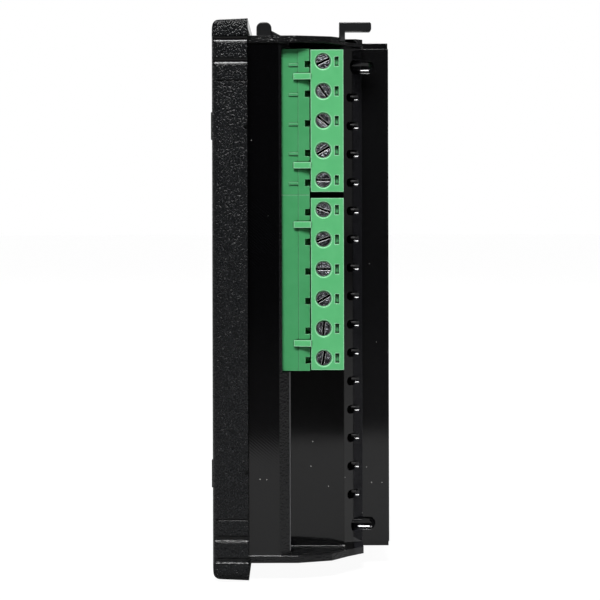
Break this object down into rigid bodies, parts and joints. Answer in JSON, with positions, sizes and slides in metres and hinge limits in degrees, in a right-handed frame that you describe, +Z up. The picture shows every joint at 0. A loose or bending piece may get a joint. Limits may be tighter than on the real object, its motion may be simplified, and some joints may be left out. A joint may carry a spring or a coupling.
{
  "type": "reactive power controller",
  "caption": "Square panel instrument: flush front with display window and push keys, stepped rear body with vents, pull-off screw terminals on one side and sliding panel clamps.",
  "frame": {"origin": "middle of the panel plane, where the back of the bezel meets the panel", "axes": "+X across the panel towards the side with the terminal blocks, +Y from the front to the rear, +Z up"},
  "size_m": [0.144, 0.0466, 0.144],
  "materials": {
    "bezel": "spark-eroded texture",
    "housing": "polished mould",
    "clamp": "polished mould",
    "window": "clear, polished",
    "cell": "polarising film on glass",
    "white_plastic": "moulded",
    "board": "solder mask on glass-fibre laminate",
    "keys": "fine texture",
    "header": "moulded polyamide",
    "plug": "moulded polyamide",
    "zinc_screw": "zinc-plated",
    "tinned": "tin-plated",
    "contact_brass": "bright",
    "relay_case": "moulded",
    "core_steel": "varnished laminations",
    "coil_tape": "wrapped tape",
    "capacitor_sleeve": "shrunk sleeve",
    "black_part": "moulded"
  },
  "bodies": {
    "case": {"front_bezel": "bezel", "display_window": "window", "display_cell": "cell", "backlight_frame": "white_plastic", "display_board": "board", "display_board_screws": "zinc_screw", "key_switches": "black_part", "processor": "black_part", "board_link": "black_part", "main_board": "board", "upper_header": "header", "lower_header": "header", "upper_pins": "tinned", "lower_pins": "tinned", "relay_1": "relay_case", "relay_2": "relay_case", "relay_3": "relay_case", "relay_4": "relay_case", "relay_5": "relay_case", "relay_6": "relay_case", "transformer_core": "core_steel", "transformer_coil": "coil_tape", "current_transformer": "black_part", "capacitors": "capacitor_sleeve", "fuse": "black_part", "surge_arrester": "relay_case", "rectifier": "black_part", "rear_housing": "housing", "housing_screws": "zinc_screw"},
    "key_1": {"key_1": "keys"},
    "key_2": {"key_2": "keys"},
    "key_3": {"key_3": "keys"},
    "key_4": {"key_4": "keys"},
    "upper_connector": {"upper_plug": "plug", "upper_screws": "zinc_screw", "upper_wire_clamps": "tinned", "upper_contacts": "contact_brass"},
    "lower_connector": {"lower_plug": "plug", "lower_screws": "zinc_screw", "lower_wire_clamps": "tinned", "lower_contacts": "contact_brass"},
    "top_clamp": {"top_clamp": "clamp"},
    "bottom_clamp": {"bottom_clamp": "clamp"}
  },
  "joints": [
    {"name": "key_1_press", "type": "slide", "parent": "case", "child": "key_1", "axis": [0, 1, 0], "range_m": [0, 0.0005], "stiffness_N_per_m": 1500, "springref_m": -0.0002},
    {"name": "key_2_press", "type": "slide", "parent": "case", "child": "key_2", "axis": [0, 1, 0], "range_m": [0, 0.0005], "stiffness_N_per_m": 1500, "springref_m": -0.0002},
    {"name": "key_3_press", "type": "slide", "parent": "case", "child": "key_3", "axis": [0, 1, 0], "range_m": [0, 0.0005], "stiffness_N_per_m": 1500, "springref_m": -0.0002},
    {"name": "key_4_press", "type": "slide", "parent": "case", "child": "key_4", "axis": [0, 1, 0], "range_m": [0, 0.0005], "stiffness_N_per_m": 1500, "springref_m": -0.0002},
    {"name": "upper_plug_pull", "type": "slide", "parent": "case", "child": "upper_connector", "axis": [0, 1, 0], "range_m": [0, 0.0085]},
    {"name": "lower_plug_pull", "type": "slide", "parent": "case", "child": "lower_connector", "axis": [0, 1, 0], "range_m": [0, 0.0085]},
    {"name": "top_clamp_slide", "type": "slide", "parent": "case", "child": "top_clamp", "axis": [0, 1, 0], "range_m": [-0.0009, 0.004]},
    {"name": "bottom_clamp_slide", "type": "slide", "parent": "case", "child": "bottom_clamp", "axis": [0, 1, 0], "range_m": [-0.0009, 0.004]}
  ]
}
